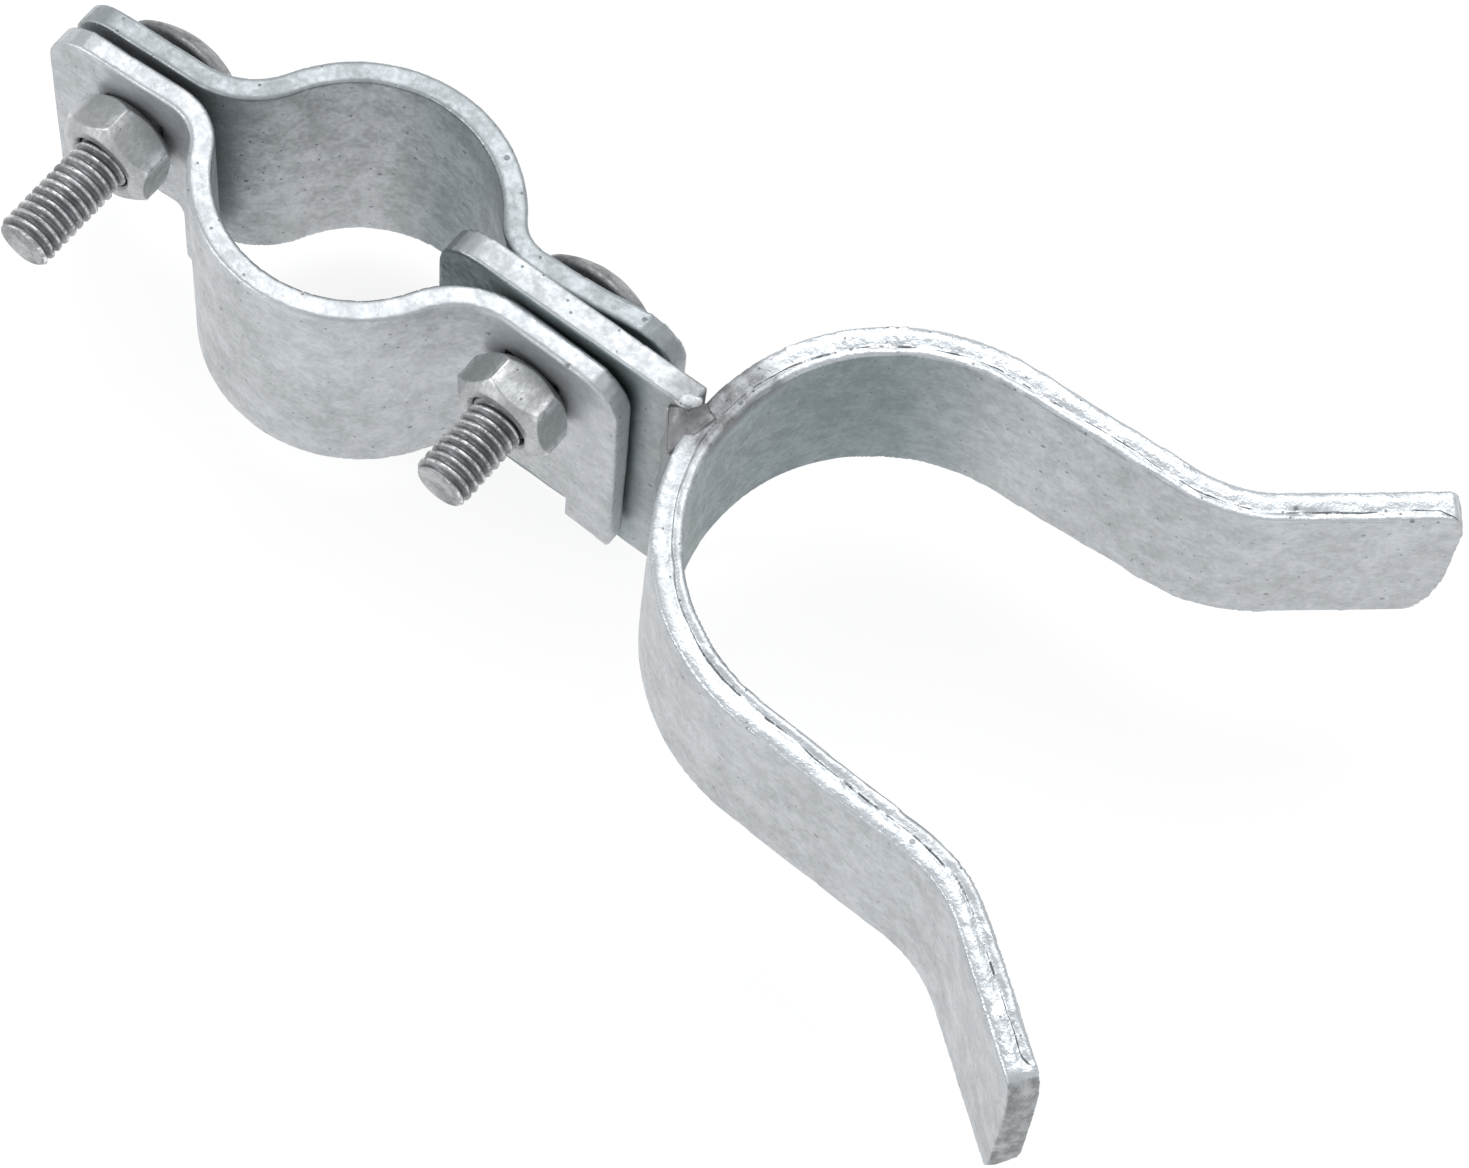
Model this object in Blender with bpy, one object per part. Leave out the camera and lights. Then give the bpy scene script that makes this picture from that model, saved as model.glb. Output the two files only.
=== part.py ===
"""Fork latch for a tubular gate.

A two-piece strap collar bolts round the gate's upright tube. A flat tongue plate is held
between the collar's right-hand ears and turns on the pivot bolt, and a bent flat-bar fork,
welded to the tongue's end, drops over the gate post.

World frame: metres, +Z up. The origin is on the axis of the collar's bore, half way up the
collar strap. +X runs from the bore through the pivot bolt to the mouth of the fork, and the
bolts run along Y, with their nuts on the -Y side.
"""
import math

import bmesh
import bpy
from mathutils import Vector

MM = 0.001
GAP = 0.3                      # clearance kept between pieces that touch

# collar: two strap halves, pressed alike and sprung a little differently when bolted up
STRAP_T = 3.2
STRAP_TOP = 19.05              # half of the 38.1 mm strap
RING_MID_R = 20.3
# Each half bows towards its bulge, the sign of Y. Its ears are (ring angle from the middle
# of the bow to the fillet, mid-line fillet radius, angle at which the ear leans outwards,
# how much more its outer part curls outwards).
FRONT = {
    "bulge": -1, "ring_centre": (-1.2, 2.35),
    "tight_ear": (60.4, 7.9, 3.0, 0.0), "loose_ear": (60.9, 12.1, 1.2, 0.0),
}
REAR = {
    "bulge": 1, "ring_centre": (1.9, -1.95),
    "tight_ear": (55.1, 7.0, 3.0, 6.0), "loose_ear": (62.7, 12.1, -2.9, 0.0),
}
CURL_START = 29.0
CURL_R = 100.0
TIGHT_END = 46.0               # reach of the notched ear
LOOSE_END = 45.3               # reach of the tall ear
EAR_OVERRUN = 4.0              # spare length of an ear, trimmed by the outline
NOTCH_IN, NOTCH_OUT = 25.2, 40.0
NOTCH_TOP = -5.75
NOTCH_CORNER_R = 2.5
TIGHT_LEG_BOTTOM = -17.45
TALL_EAR_IN = 23.0
TALL_EAR_BOTTOM = -16.25
LUG_IN = 37.8
LUG_BOTTOM = -21.05
TIGHT_CORNER_R = 7.0
LOOSE_CORNER_R = 6.0

# bolts and nuts, 5/16 inch
BOLT_X = {-1: -32.1, 1: 31.4}
BOLT_Z = 7.55
SHANK_R = 3.9
NECK_HALF = 4.0
NECK_LENGTH = 4.2
BOLT_LENGTH = 32.05
HEAD_R = 9.6
HEAD_H = 4.7
HEAD_STANDOFF = 1.5            # from an ear at its hole to the head, the ears being out of parallel
HEAD_RIM = 0.9
TIP_CHAMFER = 0.8
SQUARE_HOLE_HALF = NECK_HALF + GAP
NUT_FLATS = 13.2               # over its zinc
NUT_H = 6.6
NUT_BEARING_R = 5.8
NUT_STANDOFF = 0.65
NUT_CHAMFER_TAN = math.tan(math.radians(40))
NUT_HOLE_R = SHANK_R + GAP
NUT_COUNTERSINK = 0.5

# tongue plate
TONGUE_Y = (0.75, 4.75)
TONGUE_MID_Y = sum(TONGUE_Y) / 2
TONGUE_X = (13.2, 53.2)
TONGUE_Z = (-25.9, 21.0)
TAIL_TOP_R = 6.5
TAIL_BOTTOM_R = 4.0
TONGUE_END_R = 3.0
PIVOT_HOLE_R = SHANK_R + 2 * GAP

# fork bar
FORK_R = 27.0
FORK_T = 4.2
FORK_Z = (-10.6, 19.1)
FORK_CENTRE = (84.8, 3.0)
# Each arm, by the sign of Y. The two were bent and sheared by hand and differ a little.
# A corner is its (length along the bar, height), rounded as a quarter of an ellipse, and the
# lower edge climbs by tip_rise over a stretch of the arm.
ARMS = {
    1: {"splay": 3.6, "straight": 24.2, "flare_r": 20.4, "tip_angle": 39.6, "tip_length": 23.3,
        "upper_corner": (1.8, 7.0), "lower_corner": (3.6, 12.5), "tip_rise": 2.2},
    -1: {"splay": 1.9, "straight": 25.6, "flare_r": 20.9, "tip_angle": 36.6, "tip_length": 22.1,
         "upper_corner": (2.4, 11.0), "lower_corner": (1.2, 3.2), "tip_rise": 0.8},
}
TIP_RISE_RUN = (22.0, 66.0)    # distances from the bar's end
FORK_DROOP = 1.3               # the fork is welded on with its tips this much low
FORK_ROLL = 1.1                # and its +Y arm high
FORK_ANCHOR = (FORK_CENTRE[0] - FORK_R, FORK_CENTRE[1], FORK_Z[1])

# fillet welds between tongue and fork
BEAD_LEG = 3.6
BEAD_BULGE = 0.35
FRONT_BEAD_Z = (-10.0, 19.5)
REAR_BEAD_Z = (-10.0, 9.5)

ARC_STEP = 3.0                 # degrees between points on bends
ROUND_SIDES = 40

ZINC = (0.63, 0.66, 0.67)
ZINC_DULL = (0.52, 0.54, 0.54)
STEEL_GREY = (0.36, 0.37, 0.37)


def clear_scene():
    for item in list(bpy.data.objects):
        bpy.data.objects.remove(item, do_unlink=True)


def metal(name, colour, roughness):
    material = bpy.data.materials.new(name)
    material.use_nodes = True
    shader = material.node_tree.nodes["Principled BSDF"]
    shader.inputs["Base Color"].default_value = (*colour, 1.0)
    shader.inputs["Metallic"].default_value = 1.0
    shader.inputs["Roughness"].default_value = roughness
    material.diffuse_color = (*colour, 1.0)
    return material


def pivot_empty(name, place):
    empty = bpy.data.objects.new(name, None)
    empty.location = Vector(place) * MM
    empty.empty_display_size = 0.01
    bpy.context.collection.objects.link(empty)
    return empty


def solid(name, points, faces, origin=(0, 0, 0), parent=None):
    """Make an object from points in world millimetres, with its own origin at origin."""
    origin = Vector(origin)
    mesh = bpy.data.meshes.new(name)
    mesh.from_pydata([(Vector(p) - origin) * MM for p in points], [], faces)
    shape = bmesh.new()
    shape.from_mesh(mesh)
    bmesh.ops.recalc_face_normals(shape, faces=shape.faces)
    shape.to_mesh(mesh)
    shape.free()
    item = bpy.data.objects.new(name, mesh)
    bpy.context.collection.objects.link(item)
    item.location = origin * MM
    if parent:
        item.parent = parent
        item.location -= parent.location
    return item


def finish(item, colour, roughness):
    item.data.materials.append(metal(item.name, colour, roughness))
    item.data.shade_smooth()
    item.data.set_sharp_from_angle(angle=math.radians(30))


def prism(name, outline, low, high, along="Z", **place):
    """Extrude a closed outline; its two coordinates are X and Y, or X and Z along Y."""
    def lift(point, height):
        return (point[0], point[1], height) if along == "Z" else (point[0], height, point[1])

    count = len(outline)
    points = [lift(p, low) for p in outline] + [lift(p, high) for p in outline]
    faces = [tuple(range(count)), tuple(range(count, 2 * count))]
    faces += [(i, (i + 1) % count, count + (i + 1) % count, count + i) for i in range(count)]
    return solid(name, points, faces, **place)


def turned(name, profile, centre, sides=ROUND_SIDES, **place):
    """Turn a profile of (radius, y, squareness) round the Y axis through centre.

    A station with squareness 1 is a square of that half width instead of a circle. The
    first and last stations are closed with a flat face.
    """
    points, faces = [], []
    for radius, y, squareness in profile:
        for k in range(sides):
            angle = 2 * math.pi * k / sides
            reach = radius
            if squareness:
                reach = radius / max(abs(math.cos(angle)), abs(math.sin(angle)))
            points.append((centre[0] + reach * math.cos(angle), y, centre[1] + reach * math.sin(angle)))
    for row in range(len(profile) - 1):
        start = row * sides
        for k in range(sides):
            after = (k + 1) % sides
            faces.append((start + k, start + after, start + sides + after, start + sides + k))
    last = (len(profile) - 1) * sides
    faces += [tuple(range(sides)), tuple(range(last, last + sides))]
    return solid(name, points, faces, **place)


def use_cutter(item, cutter, operation):
    cutter.hide_render = True
    cutter.display_type = "WIRE"
    cut = item.modifiers.new(cutter.name, "BOOLEAN")
    cut.object = cutter
    cut.operation = operation
    cut.solver = "EXACT"


def rounded(points, radii):
    """Round the corners of a closed outline, each by its own radius."""
    outline = []
    count = len(points)
    for i, (corner, radius) in enumerate(zip(points, radii)):
        here = Vector(corner)
        if radius == 0:
            outline.append(tuple(here))
            continue
        before = (Vector(points[i - 1]) - here).normalized()
        after = (Vector(points[(i + 1) % count]) - here).normalized()
        half = before.angle(after) / 2
        start = here + before * radius / math.tan(half)
        end = here + after * radius / math.tan(half)
        centre = here + (before + after).normalized() * radius / math.sin(half)
        sweep = math.pi - 2 * half
        steps = max(3, round(math.degrees(sweep) / 15))
        for k in range(steps + 1):
            swept = sweep * k / steps
            swing = (start - centre) * math.sin(sweep - swept) + (end - centre) * math.sin(swept)
            outline.append(tuple(centre + swing / math.sin(sweep)))
    return outline


class Walk:
    """A route in plan, walked from a start point: straight runs and bends of given radius."""

    def __init__(self, start, heading):
        self.place = Vector(start)
        self.heading = heading
        self.stations = [(self.place.copy(), heading)]

    def straight(self, *lengths):
        """Go on to each distance from where this run starts."""
        start = self.place.copy()
        ahead = Vector((math.cos(self.heading), math.sin(self.heading)))
        for length in lengths:
            self.place = start + ahead * length
            self.stations.append((self.place.copy(), self.heading))

    def bend(self, radius, degrees):
        """Turn left by degrees, or right if they are negative."""
        side = 1 if degrees > 0 else -1
        left = Vector((-math.sin(self.heading), math.cos(self.heading))) * side
        centre = self.place + left * radius
        first = self.heading
        steps = max(1, math.ceil(abs(degrees) / ARC_STEP))
        for k in range(1, steps + 1):
            self.heading = first + math.radians(degrees) * k / steps
            left = Vector((-math.sin(self.heading), math.cos(self.heading))) * side
            self.place = centre - left * radius
            self.stations.append((self.place.copy(), self.heading))


def side_points(stations, offset):
    """Points beside a route, to its left by offset."""
    return [place + Vector((-math.sin(heading), math.cos(heading))) * offset for place, heading in stations]


def reversed_route(stations):
    return [(place, heading + math.pi) for place, heading in reversed(stations)]


def collar_walk(half, side):
    """Mid-line of one strap half, from the middle of its bow to the end of one ear."""
    bulge = half["bulge"]
    tight = side == bulge
    ring_angle, fillet, lean, curl = half["tight_ear" if tight else "loose_ear"]
    centre_x, centre_y = half["ring_centre"]
    turn = side * bulge
    walk = Walk((centre_x, centre_y + bulge * RING_MID_R), 0.0 if side > 0 else math.pi)
    walk.bend(RING_MID_R, -turn * ring_angle)
    walk.bend(fillet, turn * (ring_angle + lean))
    if curl:
        walk.straight(CURL_START - abs(walk.place.x))
        walk.bend(CURL_R, turn * curl)
    end = TIGHT_END if tight else LOOSE_END
    walk.straight(end + EAR_OVERRUN - abs(walk.place.x))
    return walk


def ear_seat(half, side, standoff):
    """Height in Y that stands clear of an ear's outside, at its bolt."""
    places = [place for place, _ in collar_walk(half, side).stations]
    for near, far in zip(places, places[1:]):
        if abs(near.x) <= abs(BOLT_X[side]) <= abs(far.x):
            slope = (far.y - near.y) / (far.x - near.x)
            mid = near.y + slope * (BOLT_X[side] - near.x)
    return mid + half["bulge"] * (STRAP_T / 2 * math.hypot(1, slope) + standoff)


def collar_plan(half):
    """Outline in plan of one strap half."""
    route = reversed_route(collar_walk(half, -1).stations)[:-1] + collar_walk(half, 1).stations
    return [*side_points(route, STRAP_T / 2), *reversed(side_points(route, -STRAP_T / 2))]


def collar_elevation(notched_side):
    """Outline of a strap half seen along Y; notched_side is the sign of X of its notched ear."""
    points = [
        (TIGHT_END, STRAP_TOP, TIGHT_CORNER_R),
        (TIGHT_END, TIGHT_LEG_BOTTOM, 0),
        (NOTCH_OUT, TIGHT_LEG_BOTTOM, 0),
        (NOTCH_OUT, NOTCH_TOP, NOTCH_CORNER_R),
        (NOTCH_IN, NOTCH_TOP, NOTCH_CORNER_R),
        (NOTCH_IN, -STRAP_TOP, 0),
        (-TALL_EAR_IN, -STRAP_TOP, 0),
        (-TALL_EAR_IN, TALL_EAR_BOTTOM, 0),
        (-LUG_IN, TALL_EAR_BOTTOM, 0),
        (-LUG_IN, LUG_BOTTOM, 0),
        (-LOOSE_END, LUG_BOTTOM, 0),
        (-LOOSE_END, STRAP_TOP, LOOSE_CORNER_R),
    ]
    return rounded([(notched_side * x, z) for x, z, _ in points], [radius for _, _, radius in points])


def collar_half(name, half, parent=None):
    reach = STRAP_TOP + 8
    item = prism(name, collar_plan(half), -reach, reach, parent=parent)
    outline = prism(name + "_outline", collar_elevation(half["bulge"]), -reach * 2, reach * 2, along="Y")
    use_cutter(item, outline, "INTERSECT")
    signs = ((-1, -1), (1, -1), (1, 1), (-1, 1))
    for side in (-1, 1):
        corners = [(BOLT_X[side] + x * SQUARE_HOLE_HALF, BOLT_Z + z * SQUARE_HOLE_HALF) for x, z in signs]
        hole = prism(f"{name}_hole_{side}", corners, -reach, reach, along="Y")
        use_cutter(item, hole, "DIFFERENCE")
    finish(item, ZINC, 0.42)
    return item


def carriage_bolt(name, x, seat_y):
    """Domed head above seat_y, square neck in the rear ear, and a plain shank."""
    cap_r = (HEAD_R ** 2 + (HEAD_H - HEAD_RIM) ** 2) / (2 * (HEAD_H - HEAD_RIM))
    opening = math.asin(HEAD_R / cap_r)
    top_y = seat_y + HEAD_H
    profile = []
    steps = 7
    for k in range(1, steps + 1):
        angle = opening * k / steps
        profile.append((cap_r * math.sin(angle), top_y - cap_r * (1 - math.cos(angle)), 0))
    neck_y = seat_y - NECK_LENGTH
    tip_y = seat_y - BOLT_LENGTH
    profile += [
        (HEAD_R, seat_y, 0),
        (NECK_HALF, seat_y, 1),
        (NECK_HALF, neck_y, 1),
        (SHANK_R, neck_y, 0),
        (SHANK_R, tip_y + TIP_CHAMFER, 0),
        (SHANK_R - TIP_CHAMFER, tip_y, 0),
    ]
    item = turned(name, profile, (x, BOLT_Z), origin=(x, seat_y, BOLT_Z))
    finish(item, STEEL_GREY, 0.45)
    return item


def hex_nut(name, x, seat_y, corner_angle, parent):
    """Hexagon with both faces chamfered, its back face at seat_y, and a plain hole."""
    corner_r = NUT_FLATS / math.sqrt(3)
    front_y = seat_y - NUT_H
    corners = []
    for k in range(6):
        angle = math.radians(corner_angle + 60 * k)
        corners.append((x + corner_r * math.cos(angle), BOLT_Z + corner_r * math.sin(angle)))
    item = prism(name, corners, front_y, seat_y, along="Y", origin=(x, seat_y, BOLT_Z), parent=parent)
    spare_r = corner_r + 1
    chamfer = (spare_r - NUT_BEARING_R) * NUT_CHAMFER_TAN
    barrel_profile = [
        (NUT_BEARING_R, seat_y, 0),
        (spare_r, seat_y - chamfer, 0),
        (spare_r, front_y + chamfer, 0),
        (NUT_BEARING_R, front_y, 0),
    ]
    barrel = turned(name + "_barrel", barrel_profile, (x, BOLT_Z))
    use_cutter(item, barrel, "INTERSECT")
    mouth_r = NUT_HOLE_R + NUT_COUNTERSINK + 1
    hole_profile = [
        (mouth_r, seat_y + 1, 0),
        (NUT_HOLE_R, seat_y - NUT_COUNTERSINK, 0),
        (NUT_HOLE_R, front_y + NUT_COUNTERSINK, 0),
        (mouth_r, front_y - 1, 0),
    ]
    hole = turned(name + "_hole", hole_profile, (x, BOLT_Z))
    use_cutter(item, hole, "DIFFERENCE")
    finish(item, ZINC_DULL, 0.38)
    return item


def tongue_plate(pivot):
    left, right = TONGUE_X
    bottom, top = TONGUE_Z
    right_low = right - (top - bottom) * math.tan(math.radians(FORK_DROOP))
    corners = [(left, bottom), (right_low, bottom), (right, top), (left, top)]
    outline = rounded(corners, [TAIL_BOTTOM_R, TONGUE_END_R, 0, TAIL_TOP_R])
    origin = pivot.location / MM
    item = prism("fork_tongue", outline, *TONGUE_Y, along="Y", origin=origin, parent=pivot)
    hole_profile = [(PIVOT_HOLE_R, TONGUE_Y[0] - 1, 0), (PIVOT_HOLE_R, TONGUE_Y[1] + 1, 0)]
    hole = turned("fork_tongue_hole", hole_profile, (BOLT_X[1], BOLT_Z))
    use_cutter(item, hole, "DIFFERENCE")
    finish(item, ZINC, 0.42)
    return item


def fork_arm(side):
    """Route of one arm from the middle of the fork's back to its tip; side is the sign of Y."""
    arm = ARMS[side]
    mid_r = FORK_R + FORK_T / 2
    walk = Walk((FORK_CENTRE[0] - mid_r, FORK_CENTRE[1]), side * math.pi / 2)
    walk.bend(mid_r, -side * (90 - arm["splay"]))
    walk.straight(arm["straight"])
    walk.bend(arm["flare_r"], side * (arm["tip_angle"] - arm["splay"]))
    sines = [math.sin(math.radians(15 * k)) for k in range(6)]
    lengths = (arm["lower_corner"][0], arm["upper_corner"][0])
    losses = {length * (1 - sine) for length in lengths for sine in sines}
    walk.straight(*sorted(arm["tip_length"] - loss for loss in losses), arm["tip_length"])
    return walk.stations


def corner_loss(distance, corner):
    """How far a rounded corner has cut into the bar's edge, at a distance from the bar's end."""
    length, height = corner
    if distance >= length:
        return 0.0
    return height * (1 - math.sqrt(1 - (1 - distance / length) ** 2))


def tip_rise(distance, rise):
    """How far the lower edge has climbed, at a distance from the bar's end."""
    near, far = TIP_RISE_RUN
    share = min(1.0, max(0.0, (far - distance) / (far - near)))
    return rise * share * share * (3 - 2 * share)


def fork_bar(pivot):
    route = reversed_route(fork_arm(-1))[:-1] + fork_arm(1)
    ends = {-1: route[0][0], 1: route[-1][0]}
    low, high = FORK_Z
    points, faces = [], []
    edges = zip(side_points(route, FORK_T / 2), side_points(route, -FORK_T / 2))
    for (place, _), (left, right) in zip(route, edges):
        side = 1 if place.y > FORK_CENTRE[1] else -1
        arm = ARMS[side]
        to_end = (place - ends[side]).length
        bottom = low + tip_rise(to_end, arm["tip_rise"]) + corner_loss(to_end, arm["lower_corner"])
        top = high - corner_loss(to_end, arm["upper_corner"])
        points += [(*left, bottom), (*right, bottom), (*right, top), (*left, top)]
    for row in range(len(route) - 1):
        start = 4 * row
        for k in range(4):
            after = (k + 1) % 4
            faces.append((start + k, start + after, start + 4 + after, start + 4 + k))
    last = 4 * (len(route) - 1)
    faces += [(0, 1, 2, 3), (last, last + 1, last + 2, last + 3)]
    item = solid("fork_bar", points, faces, origin=FORK_ANCHOR, parent=pivot)
    item.rotation_euler = (math.radians(FORK_ROLL), math.radians(FORK_DROOP), 0)
    finish(item, ZINC, 0.40)
    return item


def weld_bead(name, side, span, pivot):
    """Fillet bead between one face of the tongue and the fork's back; side is the sign of Y."""
    outer_r = FORK_R + FORK_T + GAP
    face_y = TONGUE_Y[1] + GAP if side > 0 else TONGUE_Y[0] - GAP

    def fork_face(y):
        return FORK_CENTRE[0] - math.sqrt(outer_r ** 2 - (y - FORK_CENTRE[1]) ** 2)

    root = Vector((fork_face(face_y), face_y))
    on_fork = Vector((fork_face(face_y + side * BEAD_LEG), face_y + side * BEAD_LEG))
    on_tongue = Vector((root.x - BEAD_LEG, face_y))
    outward = (Vector((-1, side))).normalized()
    outline = [tuple(root)]
    steps = 6
    for k in range(steps + 1):
        share = k / steps
        swell = BEAD_BULGE * math.sin(math.pi * share)
        outline.append(tuple(on_fork.lerp(on_tongue, share) + outward * swell))
    item = prism(name, outline, *span, origin=FORK_ANCHOR, parent=pivot)
    item.rotation_euler = (0, math.radians(FORK_DROOP), 0)
    finish(item, ZINC_DULL, 0.5)
    return item


def build():
    clear_scene()

    collar_half("collar_rear", REAR)
    carriage_bolt("pivot_bolt", BOLT_X[1], ear_seat(REAR, 1, HEAD_STANDOFF))
    carriage_bolt("clamp_bolt", BOLT_X[-1], ear_seat(REAR, -1, HEAD_STANDOFF))

    slide = pivot_empty("collar_slide", (0, 0, 0))
    collar_half("collar_front", FRONT, slide)
    hex_nut("pivot_nut", BOLT_X[1], ear_seat(FRONT, 1, NUT_STANDOFF), 46.0, slide)
    hex_nut("clamp_nut", BOLT_X[-1], ear_seat(FRONT, -1, NUT_STANDOFF), 25.0, slide)

    pivot = pivot_empty("fork_pivot", (BOLT_X[1], TONGUE_MID_Y, BOLT_Z))
    tongue_plate(pivot)
    fork_bar(pivot)
    weld_bead("weld_front", -1, FRONT_BEAD_Z, pivot)
    weld_bead("weld_rear", 1, REAR_BEAD_Z, pivot)


build()
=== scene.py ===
"""Looks of the gate fork latch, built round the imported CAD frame.

Lengths in this script are millimetres; MM turns them into Blender's metres.
"""

import itertools
import math

import bpy
import numpy as np
from mathutils import Matrix, Vector
from mathutils.bvhtree import BVHTree


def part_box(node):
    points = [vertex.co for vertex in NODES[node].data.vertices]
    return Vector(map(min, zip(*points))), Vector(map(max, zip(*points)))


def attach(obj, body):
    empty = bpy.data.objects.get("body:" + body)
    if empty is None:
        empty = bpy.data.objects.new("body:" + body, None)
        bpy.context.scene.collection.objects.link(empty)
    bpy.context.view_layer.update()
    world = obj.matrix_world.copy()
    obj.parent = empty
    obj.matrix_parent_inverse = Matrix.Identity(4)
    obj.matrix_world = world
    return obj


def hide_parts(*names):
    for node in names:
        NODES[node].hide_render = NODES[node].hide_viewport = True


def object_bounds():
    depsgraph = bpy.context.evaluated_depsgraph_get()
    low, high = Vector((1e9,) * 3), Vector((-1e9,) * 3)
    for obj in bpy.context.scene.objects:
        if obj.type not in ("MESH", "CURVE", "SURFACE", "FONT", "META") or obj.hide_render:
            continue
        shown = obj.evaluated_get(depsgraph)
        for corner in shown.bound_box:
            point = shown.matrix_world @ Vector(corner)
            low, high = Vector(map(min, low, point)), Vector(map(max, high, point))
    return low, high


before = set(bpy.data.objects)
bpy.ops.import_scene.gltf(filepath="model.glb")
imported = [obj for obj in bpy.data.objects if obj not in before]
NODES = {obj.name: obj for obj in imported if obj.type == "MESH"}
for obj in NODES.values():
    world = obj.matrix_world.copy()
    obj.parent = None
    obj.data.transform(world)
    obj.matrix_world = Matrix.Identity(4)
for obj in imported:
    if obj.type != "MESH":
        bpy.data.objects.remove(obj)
CAD_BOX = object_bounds()

MM = 0.001


def box_mm(node):
    """Lowest and highest corner of a CAD node."""
    return [Vector(corner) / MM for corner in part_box(node)]


TONGUE_LOW, TONGUE_HIGH = box_mm("fork_tongue")
STRAP_TOP = box_mm("collar_front")[1].z
FORK_TOP = box_mm("fork_bar")[1].z
FORK_CENTRE = Vector((84.8, 3.0, 0.0))       # middle of the fork's round back, in plan


# ---------------------------------------------------------------- numbers and noise

def smoothstep(value, low, high):
    share = np.clip((value - low) / (high - low), 0.0, 1.0)
    return share * share * (3 - 2 * share)


def cell_value(cells, seed):
    """A repeatable number in -1..1 for each whole-number cell."""
    mixed = cells[:, 0] * 73856093 ^ cells[:, 1] * 19349663 ^ cells[:, 2] * 83492791
    mixed = mixed ^ seed * 26544357
    mixed = mixed & 0xFFFFFFFF
    for _ in range(2):
        mixed = ((mixed ^ (mixed >> 16)) * 0x45D9F3B) & 0xFFFFFFFF
    mixed = mixed ^ (mixed >> 16)
    return mixed / 2147483647.5 - 1


def noise(points, wavelength, seed):
    """Smooth noise in -1..1 at points, which has features about a wavelength apart."""
    scaled = points / wavelength
    low = np.floor(scaled).astype(np.int64)
    part = scaled - low
    part = part ** 3 * (part * (part * 6 - 15) + 10)
    total = np.zeros(len(points))
    for corner in itertools.product((0, 1), repeat=3):
        weight = np.prod(np.where(corner, part, 1 - part), axis=1)
        total += weight * cell_value(low + np.array(corner), seed)
    return total


def pits(points, spacing, radius, share, seed):
    """Round pits, 1 deep at their middles, one in some of the cells of a jittered grid."""
    depth = np.zeros(len(points))
    cells = np.floor(points / spacing).astype(np.int64)
    for step in itertools.product((-1, 0, 1), repeat=3):
        near = cells + np.array(step)
        jitter = np.stack([cell_value(near, seed + k) for k in range(3)], axis=1)
        middle = (near + 0.5 + 0.4 * jitter) * spacing
        chosen = cell_value(near, seed + 3) < 2 * share - 1
        size = radius * (1 + 0.5 * cell_value(near, seed + 4))
        gap = np.linalg.norm(points - middle, axis=1) / size
        depth = np.maximum(depth, np.where(chosen, 1 - smoothstep(gap, 0.2, 1.0), 0.0))
    return depth


# ---------------------------------------------------------------- meshes

def new_object(name, points, faces):
    """An object from points in millimetres, shaded smooth."""
    mesh = bpy.data.meshes.new(name)
    mesh.from_pydata((np.asarray(points) * MM).tolist(), [], faces)
    mesh.validate()
    item = bpy.data.objects.new(name, mesh)
    bpy.context.scene.collection.objects.link(item)
    mesh.shade_smooth()
    return item


def ring_faces(rings, sides):
    """Quads between successive rings of points, each ring with that many points."""
    faces = []
    for ring in range(rings - 1):
        low, high = ring * sides, (ring + 1) * sides
        for k in range(sides):
            after = (k + 1) % sides
            faces.append((low + k, low + after, high + after, high + k))
    return faces


def get_points(item):
    flat = np.empty(len(item.data.vertices) * 3)
    item.data.vertices.foreach_get("co", flat)
    return flat.reshape(-1, 3) / MM


def get_normals(item):
    flat = np.empty(len(item.data.vertices) * 3)
    item.data.vertices.foreach_get("normal", flat)
    return flat.reshape(-1, 3)


def set_points(item, points):
    item.data.vertices.foreach_set("co", (points * MM).ravel())
    item.data.update()


def add_mask(item, name, values):
    """Stores a number on each vertex, which the materials read by its name."""
    layer = item.data.attributes.new(name, "FLOAT", "POINT")
    layer.data.foreach_set("value", np.ascontiguousarray(values, dtype=np.float32))


def bake_modifiers(item):
    bpy.context.view_layer.update()
    graph = bpy.context.evaluated_depsgraph_get()
    baked = bpy.data.meshes.new_from_object(item.evaluated_get(graph))
    item.modifiers.clear()
    item.data = baked
    baked.shade_smooth()


def skin(name, node, voxel, passes):
    """A finely meshed copy of a CAD node whose edges are rounded, as thick zinc rounds them."""
    item = bpy.data.objects.new(name, NODES[node].data.copy())
    bpy.context.scene.collection.objects.link(item)
    weld = item.modifiers.new("weld", "WELD")
    weld.merge_threshold = 0.000001
    remesh = item.modifiers.new("remesh", "REMESH")
    remesh.mode = "VOXEL"
    remesh.voxel_size = voxel * MM
    guide = bpy.data.objects.new("guide", NODES[node].data)
    bpy.context.scene.collection.objects.link(guide)
    snap = item.modifiers.new("snap", "SHRINKWRAP")
    snap.wrap_method = "NEAREST_SURFACEPOINT"
    snap.target = guide
    smooth = item.modifiers.new("smooth", "SMOOTH")
    smooth.factor = 0.5
    smooth.iterations = passes
    bake_modifiers(item)
    bpy.data.objects.remove(guide)
    item.data.materials.clear()
    return item


def side_trees(node, is_inner):
    """Search trees of a CAD node's upright faces: the inner ones and the outer ones."""
    mesh = NODES[node].data
    points = [Vector(v.co) / MM for v in mesh.vertices]
    sides = {True: [], False: []}
    for face in mesh.polygons:
        if abs(face.normal.z) < 0.5:
            sides[bool(is_inner(face.normal, face.center / MM))].append(tuple(face.vertices))
    return [BVHTree.FromPolygons(points, sides[inner]) for inner in (True, False)]


def nearest_distances(tree, points):
    return np.array([tree.find_nearest(Vector(p))[3] for p in points])


# ---------------------------------------------------------------- materials

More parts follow.
